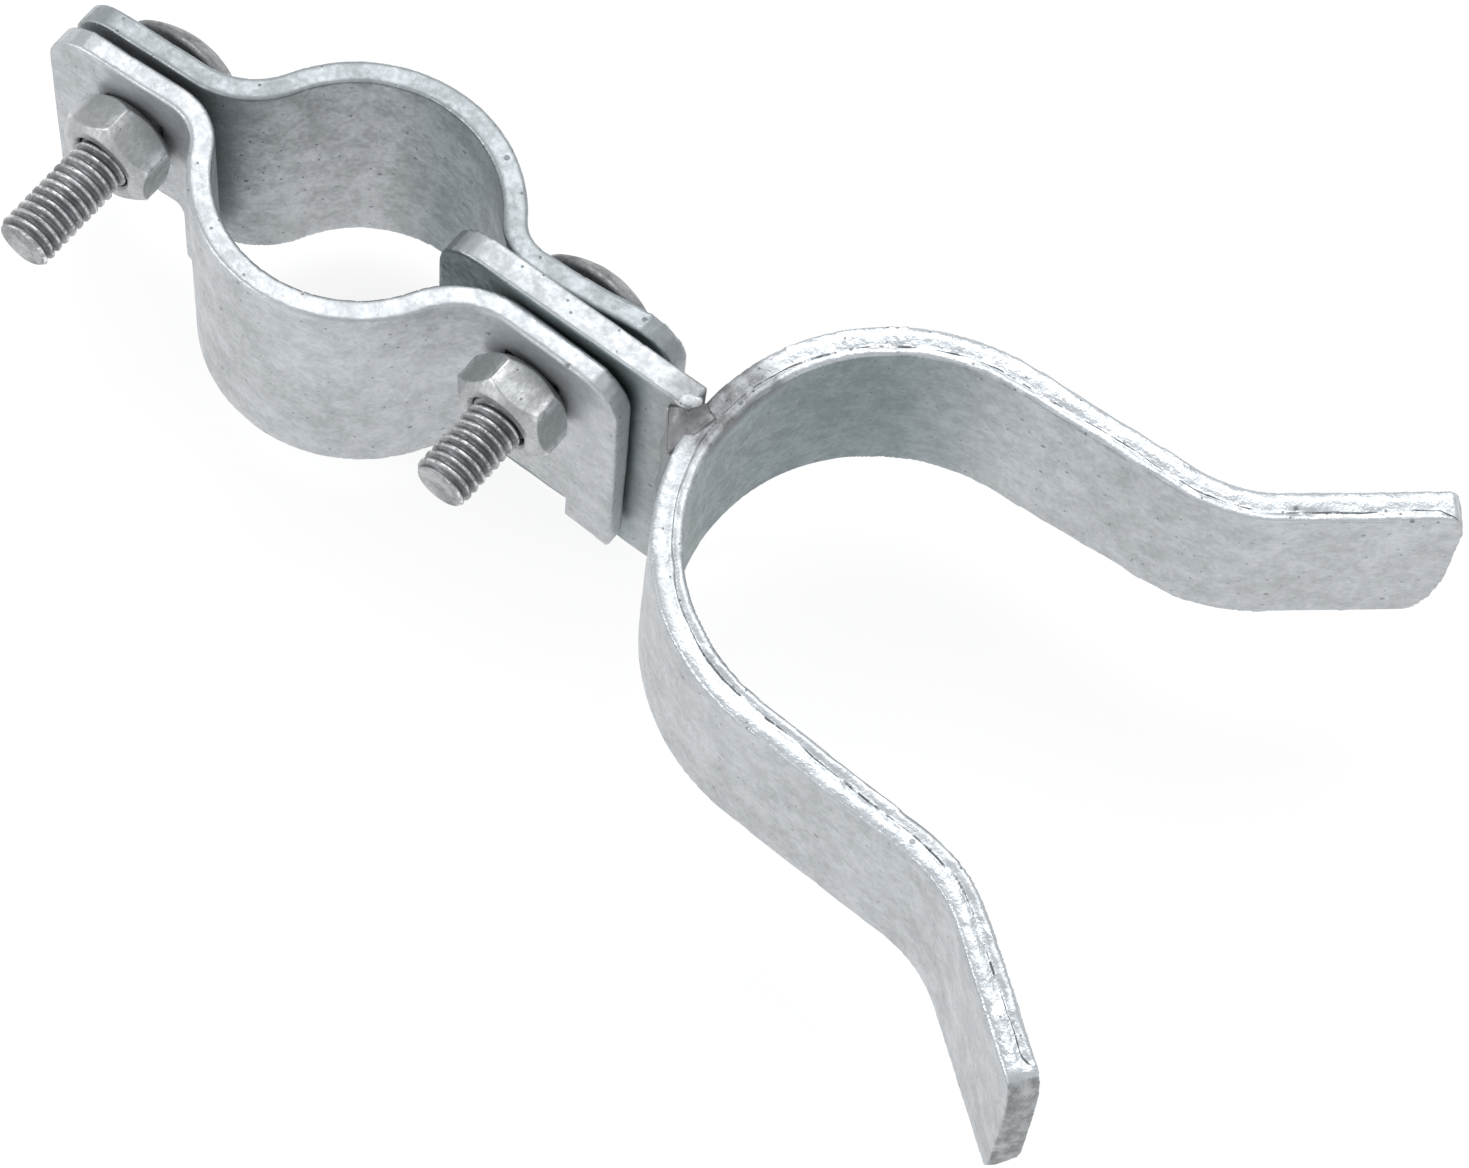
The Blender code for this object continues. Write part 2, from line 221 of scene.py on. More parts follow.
class Wiring:
    """Shorthand for building a material's nodes. Textures are laid out in millimetres."""

    def __init__(self, name):
        self.material = bpy.data.materials.new(name)
        self.material.use_nodes = True
        self.tree = self.material.node_tree
        self.shader = self.tree.nodes["Principled BSDF"]
        where = self.tree.nodes.new("ShaderNodeTexCoord")
        self.mm = self.vector("MULTIPLY", where.outputs["Object"], (1 / MM,) * 3)

    def put(self, socket, value):
        if isinstance(value, bpy.types.NodeSocket):
            self.tree.links.new(value, socket)
        elif value is not None:
            socket.default_value = value

    def vector(self, operation, first, second):
        node = self.tree.nodes.new("ShaderNodeVectorMath")
        node.operation = operation
        self.put(node.inputs[0], first)
        self.put(node.inputs[1], second)
        return node.outputs[0]

    def math(self, operation, first, second=None, clamp=False):
        node = self.tree.nodes.new("ShaderNodeMath")
        node.operation = operation
        node.use_clamp = clamp
        self.put(node.inputs[0], first)
        self.put(node.inputs[1], second)
        return node.outputs[0]

    def remap(self, value, low, high, to_low=0.0, to_high=1.0):
        node = self.tree.nodes.new("ShaderNodeMapRange")
        node.interpolation_type = "SMOOTHSTEP"
        self.put(node.inputs["Value"], value)
        span = {"From Min": low, "From Max": high, "To Min": to_low, "To Max": to_high}
        for key, number in span.items():
            node.inputs[key].default_value = number
        return node.outputs["Result"]

    def noise(self, wavelength, detail=3.0, rough=0.55, stretch=(1, 1, 1), warp=0.0):
        node = self.tree.nodes.new("ShaderNodeTexNoise")
        self.put(node.inputs["Vector"], self.vector("MULTIPLY", self.mm, stretch))
        node.inputs["Scale"].default_value = 1 / wavelength
        node.inputs["Detail"].default_value = detail
        node.inputs["Roughness"].default_value = rough
        node.inputs["Distortion"].default_value = warp
        return node.outputs["Fac"]

    def specks(self, spacing, radius, share):
        """Round spots of a radius, in a share of the cells of a Voronoi pattern."""
        node = self.tree.nodes.new("ShaderNodeTexVoronoi")
        self.put(node.inputs["Vector"], self.mm)
        node.inputs["Scale"].default_value = 1 / spacing
        reach = radius / spacing
        spot = self.remap(node.outputs["Distance"], 0.4 * reach, reach, 1.0, 0.0)
        parts = self.tree.nodes.new("ShaderNodeSeparateColor")
        self.put(parts.inputs[0], node.outputs["Color"])
        chosen = self.math("LESS_THAN", parts.outputs[0], share)
        return self.math("MULTIPLY", spot, chosen)

    def crystals(self, spacing):
        """A flat random value on each zinc crystal."""
        node = self.tree.nodes.new("ShaderNodeTexVoronoi")
        self.put(node.inputs["Vector"], self.mm)
        node.inputs["Scale"].default_value = 1 / spacing
        parts = self.tree.nodes.new("ShaderNodeSeparateColor")
        self.put(parts.inputs[0], node.outputs["Color"])
        return parts.outputs[1]

    def mask(self, name):
        node = self.tree.nodes.new("ShaderNodeAttribute")
        node.attribute_name = name
        return node.outputs["Fac"]

    def mix(self, share, first, second, blend="MIX"):
        node = self.tree.nodes.new("ShaderNodeMix")
        node.data_type = "RGBA"
        node.blend_type = blend
        self.put(node.inputs["Factor"], share)
        for socket, value in ((node.inputs[6], first), (node.inputs[7], second)):
            self.put(socket, (*value, 1.0) if isinstance(value, tuple) else value)
        return node.outputs[2]

    def bump(self, height, depth, under=None):
        node = self.tree.nodes.new("ShaderNodeBump")
        node.inputs["Strength"].default_value = 1.0
        node.inputs["Distance"].default_value = depth * MM
        self.put(node.inputs["Height"], height)
        self.put(node.inputs["Normal"], under)
        return node.outputs["Normal"]

    def finish(self, colour, roughness, normal, metallic):
        self.put(self.shader.inputs["Base Color"], colour)
        self.put(self.shader.inputs["Roughness"], roughness)
        self.put(self.shader.inputs["Normal"], normal)
        self.shader.inputs["Metallic"].default_value = metallic
        return self.material


SHADE_TINT = (0.39, 0.465, 0.47)       # what light loses between two close faces
FROSTED_HIGHLIGHT = (0.69, 0.73, 0.76)             # frosted zinc on upward faces, lightened as a painted highlight
TORN_STEEL = (0.2, 0.205, 0.205)       # sheared bar ends, thinly coated
SCORCHED_AND_SHADED = (0.19, 0.192, 0.198)        # by the weld's heat, and painted shade under the fork's inner top edge
PINHOLE = (0.1, 0.105, 0.11)
CRACK = (0.03, 0.032, 0.035)


def zinc_material(name, light, dark, seam=False):
    """Hot-dip zinc: mottled satin grey with pinholes, lumpier where rim is high and lighter there, partly
    frosted zinc and partly a painted highlight.

    The masks paint shade between close faces and darken sheared steel and the weld's scorch, whose mask on
    the fork also paints shade under the inner top edge; seam draws the crack along the fork's edge.
    """
    w = Wiring(name)
    blotch = w.remap(w.noise(13.0, 5.0, 0.62), 0.36, 0.64)
    patch = w.remap(w.noise(3.6, 5.0, 0.64), 0.36, 0.64)
    grain = w.remap(w.noise(0.8, 4.0, 0.7), 0.3, 0.72)
    tone = w.math("MULTIPLY", blotch, 0.28)
    for part, share in ((patch, 0.24), (grain, 0.32), (w.crystals(1.1), 0.16)):
        tone = w.math("ADD", tone, w.math("MULTIPLY", part, share))
    colour = w.mix(tone, dark, light)
    # painted shade: faces that stand close together are darkened towards SHADE_TINT
    colour = w.mix(w.mask("painted_shade"), colour, SHADE_TINT, "MULTIPLY")
    # painted highlight: where rim is high, the colour moves in patches towards lighter frosted zinc
    rim = w.mask("rim")
    highlight_frost = w.remap(w.noise(2.4, 5.0, 0.66), 0.3, 0.62)
    share = w.math("MULTIPLY", rim, w.math("ADD", w.math("MULTIPLY", highlight_frost, 0.4), 0.45))
    colour = w.mix(share, colour, FROSTED_HIGHLIGHT)
    shear = w.mask("shear")
    torn = w.remap(w.noise(2.2, 5.0, 0.7, stretch=(1, 1, 0.6)), 0.38, 0.62)
    share = w.math("MULTIPLY", shear, w.math("ADD", w.math("MULTIPLY", torn, 0.62), 0.26))
    colour = w.mix(share, colour, TORN_STEEL)
    # weld scorch, plus painted shade under the fork's inner top edge near the weld
    scorch_and_shade = w.mask("scorch_and_shade")
    scale_patch = w.remap(w.noise(2.6, 5.0, 0.65), 0.4, 0.62)
    share = w.math("MULTIPLY", scorch_and_shade, w.math("ADD", w.math("MULTIPLY", scale_patch, 0.45), 0.5))
    colour = w.mix(share, colour, SCORCHED_AND_SHADED)
    spots = w.math("MAXIMUM", w.specks(1.5, 0.24, 0.4), w.specks(4.0, 0.46, 0.3))
    colour = w.mix(w.math("MULTIPLY", spots, 0.62), colour, PINHOLE)
    smooth = w.math("ADD", w.math("MULTIPLY", patch, 0.5), w.math("MULTIPLY", grain, 0.5))
    roughness = w.remap(smooth, 0.1, 0.9, 0.5, 0.38)
    roughness = w.math("SUBTRACT", roughness, w.math("MULTIPLY", rim, 0.14))
    roughness = w.math("ADD", roughness, w.math("MULTIPLY", w.math("MAXIMUM", shear, scorch_and_shade), 0.12))
    height = w.math("SUBTRACT", w.noise(1.2, 5.0, 0.62), w.math("MULTIPLY", spots, 0.9))
    if seam:
        width = w.remap(w.noise(5.0, 3.0, 0.6), 0.42, 0.62, 0.07, 0.22)
        off_line = w.math("DIVIDE", w.math("ABSOLUTE", w.mask("seam")), width)
        crack = w.math("SUBTRACT", 1.0, off_line, clamp=True)
        crack = w.math("MULTIPLY", crack, w.mask("rim"))
        broken = w.remap(w.noise(3.2, 4.0, 0.65), 0.44, 0.56, 0.12, 1.0)
        crack = w.math("MULTIPLY", crack, w.math("MAXIMUM", broken, w.mask("crack")))
        colour = w.mix(w.math("MULTIPLY", crack, 0.97), colour, CRACK)
        height = w.math("SUBTRACT", height, w.math("MULTIPLY", crack, 1.4))
    depth = w.bump(height, 0.06)
    lumpiness = w.math("ADD", w.math("MULTIPLY", rim, 0.85), 0.15)
    lumps = w.math("MULTIPLY", w.noise(2.6, 4.0, 0.6), lumpiness)
    return w.finish(colour, roughness, w.bump(lumps, 0.3, depth), 0.85)


def bolt_material(name, light, dark):
    """Dull zinc on rolled steel, with painted shade in the thread's roots and brighter crests, partly wear
    and partly a painted glint.
    """
    w = Wiring(name)
    blotch = w.remap(w.noise(4.0, 5.0, 0.65), 0.36, 0.64)
    grain = w.remap(w.noise(0.6, 4.0, 0.7), 0.3, 0.7)
    tone = w.math("ADD", w.math("MULTIPLY", blotch, 0.55), w.math("MULTIPLY", grain, 0.45))
    colour = w.mix(tone, dark, light)
    crest = w.mask("crest")
    # painted shade in the thread's roots; the neck and head, whose crest is 0.4, are darkened by it too
    colour = w.mix(w.math("SUBTRACT", 1.0, crest), colour, (0.46, 0.47, 0.49), "MULTIPLY")
    # crest tops lightened in patches: partly wear, partly a painted glint
    wear_and_glint_patches = w.remap(w.noise(0.9, 4.0, 0.7), 0.44, 0.58)
    lightened = w.math("MULTIPLY", w.remap(crest, 0.8, 1.0), wear_and_glint_patches)
    colour = w.mix(w.math("MULTIPLY", lightened, 0.85), colour, (0.9, 0.91, 0.92))
    spots = w.specks(1.0, 0.17, 0.3)
    colour = w.mix(w.math("MULTIPLY", spots, 0.75), colour, (0.06, 0.06, 0.065))
    roughness = w.math("SUBTRACT", w.remap(tone, 0.1, 0.9, 0.56, 0.4), w.math("MULTIPLY", lightened, 0.14))
    height = w.math("SUBTRACT", w.noise(0.8, 5.0, 0.65), spots)
    return w.finish(colour, roughness, w.bump(height, 0.05), 0.85)


def nut_material(name, light, dark):
    """Satin zinc with tool marks on the flats and bright worn corners."""
    w = Wiring(name)
    blotch = w.remap(w.noise(5.0, 5.0, 0.6, warp=0.5), 0.36, 0.66)
    grain = w.remap(w.noise(0.45, 4.0, 0.75, stretch=(1, 0.5, 1)), 0.34, 0.66)
    tone = w.math("ADD", w.math("MULTIPLY", blotch, 0.5), w.math("MULTIPLY", grain, 0.5))
    colour = w.mix(tone, dark, light)
    lightened = w.math("MULTIPLY", w.mask("corner"), w.remap(w.noise(1.6, 4.0, 0.7), 0.36, 0.6))
    colour = w.mix(w.math("MULTIPLY", lightened, 0.8), colour, (0.84, 0.85, 0.86))
    spots = w.specks(1.4, 0.18, 0.25)
    colour = w.mix(w.math("MULTIPLY", spots, 0.65), colour, (0.1, 0.1, 0.11))
    roughness = w.math("SUBTRACT", w.remap(tone, 0.1, 0.9, 0.46, 0.32), w.math("MULTIPLY", lightened, 0.08))
    height = w.math("SUBTRACT", w.noise(0.8, 5.0, 0.66), spots)
    return w.finish(colour, roughness, w.bump(height, 0.055), 0.85)


def weld_material(name, light, dark):
    """Zinc over a weld bead: smooth runs with pits where the slag was."""
    w = Wiring(name)
    blotch = w.remap(w.noise(3.2, 5.0, 0.62), 0.36, 0.64)
    grain = w.remap(w.noise(0.7, 4.0, 0.7), 0.3, 0.7)
    tone = w.math("ADD", w.math("MULTIPLY", blotch, 0.6), w.math("MULTIPLY", grain, 0.4))
    colour = w.mix(tone, dark, light)
    spots = w.specks(1.1, 0.18, 0.2)
    colour = w.mix(w.math("MULTIPLY", spots, 0.75), colour, (0.08, 0.085, 0.09))
    roughness = w.remap(tone, 0.1, 0.9, 0.5, 0.3)
    height = w.math("SUBTRACT", w.noise(1.0, 5.0, 0.6), spots)
    return w.finish(colour, roughness, w.bump(height, 0.06), 0.8)


ZINC_LIGHT = (0.61, 0.635, 0.66)
ZINC_DARK = (0.38, 0.4, 0.415)
strap_zinc = zinc_material("strap_zinc", ZINC_LIGHT, ZINC_DARK)
fork_zinc = zinc_material("fork_zinc", ZINC_LIGHT, ZINC_DARK, seam=True)
bolt_steel = bolt_material("bolt_steel", (0.58, 0.59, 0.595), (0.24, 0.245, 0.25))
nut_zinc = nut_material("nut_zinc", (0.57, 0.59, 0.595), (0.38, 0.39, 0.395))
weld_zinc = weld_material("weld_zinc", (0.66, 0.69, 0.71), (0.44, 0.455, 0.465))
weld_dull = weld_material("weld_dull", (0.34, 0.345, 0.355), (0.17, 0.172, 0.178))


def place(item, node, body, material):
    """Puts a finished piece in a CAD node's place, on the body that carries it."""
    item.data.materials.clear()
    item.data.materials.append(material)
    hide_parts(node)
    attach(item, body)


# ---------------------------------------------------------------- collar halves

STRAP_VOXEL = 0.36
LIT_BAND = (0.25, 1.35)            # the painted highlight on the front half's outer face fades out this far below its top


def collar_skin(node, body, bulge, highlight_frost, top_shade, seed):
    """One strap half; it bows towards bulge times Y, and its top edge gets a painted highlight and painted
    shade in the given amounts.
    """
    item = skin(node + "_strap", node, STRAP_VOXEL, 2)
    points, normals = get_points(item), get_normals(item)
    edge = smoothstep(np.abs(normals[:, 2]), 0.35, 0.8)
    swell = 0.05 * noise(points, 11.0, seed) + 0.03 * noise(points, 3.4, seed + 1)
    swell += edge * (0.06 * noise(points, 4.0, seed + 2) + 0.035 * noise(points, 1.6, seed + 3))
    swell -= 0.09 * pits(points, 2.2, 0.45, 0.2, seed + 10)
    set_points(item, points + normals * swell[:, None])
    # painted highlight on the top edge and, mostly on the front half, down the top of the outer face
    up = smoothstep(normals[:, 2], 0.35, 0.8)
    inner = smoothstep(-bulge * normals[:, 1], -0.1, 0.5)
    lit_band = 0.7 * (1 - smoothstep(STRAP_TOP - points[:, 2], *LIT_BAND)) * (1 - inner)
    add_mask(item, "rim", highlight_frost * np.maximum(up, lit_band))
    # painted shade on the inner wall towards +X and at the far -X end; the rear half's top edge gets
    # painted shade too
    shade = 0.67 * smoothstep(points[:, 0], -8.0, 2.0)
    shade += 0.3 * smoothstep(-points[:, 0], 14.0, 19.0)
    add_mask(item, "painted_shade", shade * inner * (1 - edge) + top_shade * up)
    place(item, node, body, strap_zinc)


collar_skin("collar_rear", "rear_collar", 1, 0.05, 0.36, 11)
collar_skin("collar_front", "front_collar", -1, 0.34, 0.0, 37)


# ---------------------------------------------------------------- tongue and fork

FORK_VOXEL = 0.38
SEAM_ACROSS = 0.63             # how far across the top edge the seam runs, from the outer face
SEAM_SHARPNESS = 4.2
TIP_HEADINGS = ((39.6, 1), (-36.6, -1))      # which way each arm ends, and its side of the middle
TIP_START_X = 120.0
WELD_HEART = Vector((56.2, 5.4, FORK_TOP))   # middle of the patch that the weld scorched


def fork_inner(normal, centre):
    """Whether a face of the fork looks into the gap between its arms."""
    middle = Vector((max(centre.x, FORK_CENTRE.x), FORK_CENTRE.y, 0))
    return normal.dot(middle - Vector((centre.x, centre.y, 0))) > 0


def tongue_skin():
    item = skin("fork_tongue_plate", "fork_tongue", STRAP_VOXEL, 2)
    points, normals = get_points(item), get_normals(item)
    edge = smoothstep(np.abs(normals[:, 2]), 0.35, 0.8)
    swell = 0.05 * noise(points, 9.0, 61) + 0.03 * noise(points, 3.0, 62)
    swell += edge * 0.05 * noise(points, 2.4, 63)
    swell -= 0.09 * pits(points, 2.2, 0.45, 0.2, 70)
    set_points(item, points + normals * swell[:, None])
    # painted highlight on the top; painted shade on the upright faces, lifted past x 43 where the face is
    # lit beyond the front ear's end
    add_mask(item, "rim", 0.15 * smoothstep(normals[:, 2], 0.35, 0.8))
    lit = 1 - 0.7 * smoothstep(points[:, 0], 43.0, 48.5)
    add_mask(item, "painted_shade", 0.85 * lit * (1 - edge))
    middle_y = (TONGUE_LOW.y + TONGUE_HIGH.y) / 2
    near = np.hypot(points[:, 0] - TONGUE_HIGH.x, 0.8 * (points[:, 1] - middle_y))
    add_mask(item, "scorch_and_shade", 0.6 * (1 - smoothstep(near, 2.0, 7.0)))
    place(item, "fork_tongue", "fork", strap_zinc)


def fork_skin():
    item = skin("fork_bar_bend", "fork_bar", FORK_VOXEL, 3)
    points, normals = get_points(item), get_normals(item)
    up = smoothstep(normals[:, 2], 0.3, 0.75)
    edge = smoothstep(np.abs(normals[:, 2]), 0.3, 0.75)

    # across: 0 on the outer face, 1 on the inner face, worked out on the two narrow edges
    across = np.full(len(points), 0.5)
    inner_tree, outer_tree = side_trees("fork_bar", fork_inner)
    on_edge = np.nonzero(np.abs(normals[:, 2]) > 0.2)[0]
    to_inner = nearest_distances(inner_tree, points[on_edge])
    to_outer = nearest_distances(outer_tree, points[on_edge])
    across[on_edge] = to_outer / (to_inner + to_outer)
    wander = 0.07 * noise(points, 14.0, 81) + 0.035 * noise(points, 4.5, 82)
    wander += 0.012 * noise(points, 1.5, 83)
    seam = across - SEAM_ACROSS - wander

    swell = 0.06 * noise(points, 13.0, 84) + 0.03 * noise(points, 3.2, 85)
    lumps = 0.1 * noise(points, 5.0, 86) + 0.09 * noise(points, 2.3, 87) + 0.04 * noise(points, 1.1, 88)
    run = 0.12 * np.exp(-((across - 0.3) / 0.17) ** 2) + 0.1 * np.exp(-((across - 0.84) / 0.12) ** 2)
    valley = 0.2 * np.exp(-(seam / 0.07) ** 2) * (0.7 + 0.5 * noise(points, 6.0, 89))
    rough_side = smoothstep(seam, -0.02, 0.1)
    swell += edge * (lumps * (0.45 + 0.75 * rough_side) + run - valley)
    swell -= 0.16 * edge * pits(points, 2.6, 0.5, 0.3, 90)
    swell -= 0.09 * (1 - edge) * pits(points, 2.4, 0.45, 0.2, 96)

    shear = np.zeros(len(points))
    for heading, side in TIP_HEADINGS:
        angle = math.radians(heading)
        facing = normals[:, 0] * math.cos(angle) + normals[:, 1] * math.sin(angle)
        here = (points[:, 0] > TIP_START_X) & (points[:, 1] * side > 0)
        shear = np.maximum(shear, np.where(here, smoothstep(facing, 0.55, 0.85), 0.0))
    swell += shear * (0.12 * noise(points, 1.9, 101) + 0.08 * noise(points, 0.9, 102))
    swell -= shear * 0.25 * pits(points, 1.9, 0.5, 0.35, 103)
    set_points(item, points + normals * swell[:, None])

    # painted highlight on the top edges, weaker by the back and on the seam's rough side
    plain = (1 - smoothstep(points[:, 0], 62.0, 74.0)) * (1 - smoothstep(points[:, 1], 4.0, 14.0))
    add_mask(item, "rim", up * (1 - 0.2 * rough_side) * (1 - 0.5 * plain))
    # painted shade on the inner faces, fading out away from the fork's back
    inner = np.where(normals[:, 0] * (np.maximum(points[:, 0], FORK_CENTRE.x) - points[:, 0])
                     + normals[:, 1] * (FORK_CENTRE.y - points[:, 1]) > 0, 1.0, 0.0)
    back = 1 - smoothstep(points[:, 0], 66.0, 88.0)
    add_mask(item, "painted_shade", 0.9 * inner * back * (1 - edge))
    add_mask(item, "shear", shear * np.where(points[:, 1] < 0, 1.0, 0.35))
    add_mask(item, "seam", seam * SEAM_SHARPNESS)
    crack = (1 - smoothstep(points[:, 1], -4.0, 4.0)) * (1 - smoothstep(points[:, 0], 66.0, 74.0))
    add_mask(item, "crack", crack)
    near = np.linalg.norm(points - np.array(WELD_HEART), axis=1)
    depth = FORK_TOP - points[:, 2]
    on_top = (1 - smoothstep(near, 5.0, 10.0)) * (1 - smoothstep(depth, 1.1, 3.6))
    # painted shade in a ragged band just under the inner top edge, beside the weld
    shade_under_edge = inner * (1 - smoothstep(near, 6.0, 10.0)) * (1 - smoothstep(depth - 2.0 * lumps, 1.4, 2.2))
    add_mask(item, "scorch_and_shade", np.maximum(on_top, 0.9 * shade_under_edge))
    place(item, "fork_bar", "fork", fork_zinc)


tongue_skin()
fork_skin()


# ---------------------------------------------------------------- bolts

PITCH = 1.411
MAJOR_R = 3.97
MINOR_R = 3.42
BOLT_SIDES = 72
BOLT_LENGTH = 32.05
THREAD_LENGTH = 24.0
NECK_HALF = 4.0
NECK_LENGTH = 4.2
HEAD_R = 9.75
HEAD_H = 4.95
HEAD_RIM = 0.9
TIP_R = 3.45


def bolt_profile():
    """Stations from the tip to the dome: (height above the tip, radius, squareness)."""
    rows = [(0.0, r, 0) for r in (0.02, 0.8, 1.6, 2.4, 3.0)] + [(0.015, 3.3, 0), (0.07, TIP_R, 0)]
    step = PITCH / 14
    count = int(THREAD_LENGTH / step)
    rows += [(0.07 + step * k, MAJOR_R, 0) for k in range(1, count + 1)]
    neck = BOLT_LENGTH - NECK_LENGTH
    rows += [(neck - 0.9, 3.75, 0), (neck - 0.35, 3.78, 0), (neck, 3.95, 0.5)]
    rows += [(neck + 0.4, NECK_HALF, 1)]
    rows += [(neck + k, NECK_HALF, 1) for k in (1.4, 2.4, 3.4, 3.9)]
    rows += [(BOLT_LENGTH - 0.15, NECK_HALF + 0.15, 1), (BOLT_LENGTH, NECK_HALF + 0.9, 0.5)]
    rows += [(BOLT_LENGTH, r, 0) for r in (6.2, 7.4, 8.6)]
    rows += [(BOLT_LENGTH + 0.06, HEAD_R - 0.35, 0), (BOLT_LENGTH + 0.25, HEAD_R - 0.08, 0)]
    rows += [(BOLT_LENGTH + 0.55, HEAD_R, 0)]
    rise = HEAD_H - HEAD_RIM
    cap_r = (HEAD_R ** 2 + rise ** 2) / (2 * rise)
    opening = math.asin(HEAD_R / cap_r)
    for k in range(1, 25):
        angle = opening * (1 - k / 24) + 0.002
        drop = cap_r * (1 - math.cos(angle))
        rows.append((BOLT_LENGTH + HEAD_H - drop, cap_r * math.sin(angle), 0))
    return rows


def bolt(name, node, x, z, tip_y, seed):
    rows = np.array(bolt_profile())
    angles = np.arange(BOLT_SIDES) * 2 * math.pi / BOLT_SIDES
    height = np.repeat(rows[:, 0], BOLT_SIDES)
    radius = np.repeat(rows[:, 1], BOLT_SIDES)
    square = np.repeat(rows[:, 2], BOLT_SIDES)
    around = np.tile(angles, len(rows))
    corner = (np.abs(np.cos(around)) ** 12 + np.abs(np.sin(around)) ** 12) ** (-1 / 12)
    radius = radius * (1 + square * (corner - 1))

    # thread: a right-hand helix round +Y, with its crests flattened and its ends fading out
    phase = (height / PITCH - around / (2 * math.pi) + seed * 0.37) % 1.0
    crest = smoothstep(np.abs(2 * phase - 1), 0.2, 0.86)
    cut = smoothstep(height, THREAD_LENGTH + 0.2, THREAD_LENGTH - 2.5)
    cone = TIP_R + 0.85 * np.maximum(height - 0.07, 0.0)
    threaded = (height > 0.069) & (height <= THREAD_LENGTH + 0.08)
    cut_r = np.minimum(MAJOR_R - (MAJOR_R - MINOR_R) * (1 - crest) * cut, cone)
    radius = np.where(threaded, cut_r, radius)
    crest = np.where(threaded, 1 - (1 - crest) * cut, np.where(height > THREAD_LENGTH, 0.4, 0.8))

    points = np.stack([radius * np.sin(around), height, radius * np.cos(around)], axis=1)
    rough = 0.035 * noise(points, 1.3, seed) + 0.03 * noise(points, 3.0, seed + 1)
    on_head = smoothstep(height, BOLT_LENGTH, BOLT_LENGTH + 0.6)
    rough += on_head * 0.06 * noise(points, 5.0, seed + 2)
    on_tip = smoothstep(height, 0.8, 0.0)
    away = np.stack([np.sin(around), 0 * around, np.cos(around)], axis=1)
    points = points + away * (rough * (1 - 0.8 * on_head))[:, None]
    points[:, 1] += on_head * rough + on_tip * 0.03 * noise(points, 1.6, seed + 9)
    points += np.array([x, tip_y, z])

    faces = ring_faces(len(rows), BOLT_SIDES)
    last = (len(rows) - 1) * BOLT_SIDES
    faces.append(tuple(reversed(range(BOLT_SIDES))))
    faces.append(tuple(range(last, last + BOLT_SIDES)))
    item = new_object(name, points, faces)
    add_mask(item, "crest", crest)
    place(item, node, "rear_collar", bolt_steel)


def bolt_place(node):
    """A bolt's axis in X and Z, and where its tip is in Y."""
    low, high = box_mm(node)
    return (low.x + high.x) / 2, (low.z + high.z) / 2, low.y


bolt("pivot_bolt_steel", "pivot_bolt", *bolt_place("pivot_bolt"), 3)
bolt("clamp_bolt_steel", "clamp_bolt", *bolt_place("clamp_bolt"), 8)


# ---------------------------------------------------------------- nuts

NUT_VOXEL = 0.17
NUT_FLATS = 13.2
ZINC_WIDENS = 0.018            # by what share zinc widens a nut
ZINC_LENGTHENS = 0.035         # and by what share it lengthens it, towards its ear


def nut(node, body, seed):
    item = skin(node + "_hexagon", node, NUT_VOXEL, 2)
    points, normals = get_points(item), get_normals(item)
    low, high = box_mm(node)
    axis_x, axis_z = (low.x + high.x) / 2, (low.z + high.z) / 2
    out = np.hypot(points[:, 0] - axis_x, points[:, 2] - axis_z)
    coat = 1 + ZINC_WIDENS * smoothstep(out, 4.4, 5.6)
    points[:, 0] = axis_x + (points[:, 0] - axis_x) * coat
    points[:, 2] = axis_z + (points[:, 2] - axis_z) * coat
    points[:, 1] = low.y + (points[:, 1] - low.y) * (1 + ZINC_LENGTHENS)
    swell = 0.03 * noise(points, 3.0, seed) + 0.015 * noise(points, 1.2, seed + 1)
    swell -= 0.06 * pits(points, 2.4, 0.35, 0.2, seed + 2)
    set_points(item, points + normals * swell[:, None])
    add_mask(item, "corner", smoothstep(out, NUT_FLATS / 2 + 0.35, NUT_FLATS / 2 + 0.8))
    place(item, node, body, nut_zinc)


nut("clamp_nut", "clamp_nut_body", 121)
nut("pivot_nut", "pivot_nut_body", 141)


# ---------------------------------------------------------------- welds

BEAD_STEP = 0.3
BEAD_ACROSS = 14
BEAD_LEG = 3.7
BEAD_BOTTOM = -10.0
BEAD_FADE = 2.2                # a bead grows to its full size over this height
SINK = 0.3                     # the bead's toes dip this much into the faces it joins


def fork_search_tree():
    mesh = NODES["fork_bar"].data
    points = [Vector(v.co) / MM for v in mesh.vertices]
    return BVHTree.FromPolygons(points, [tuple(face.vertices) for face in mesh.polygons])


FORK_TREE = fork_search_tree()


def fork_back_x(y, z):
    """Where the fork's outer face is, looking along +X from beside the collar."""
    return FORK_TREE.ray_cast(Vector((30.0, y, z)), Vector((1, 0, 0)))[0].x


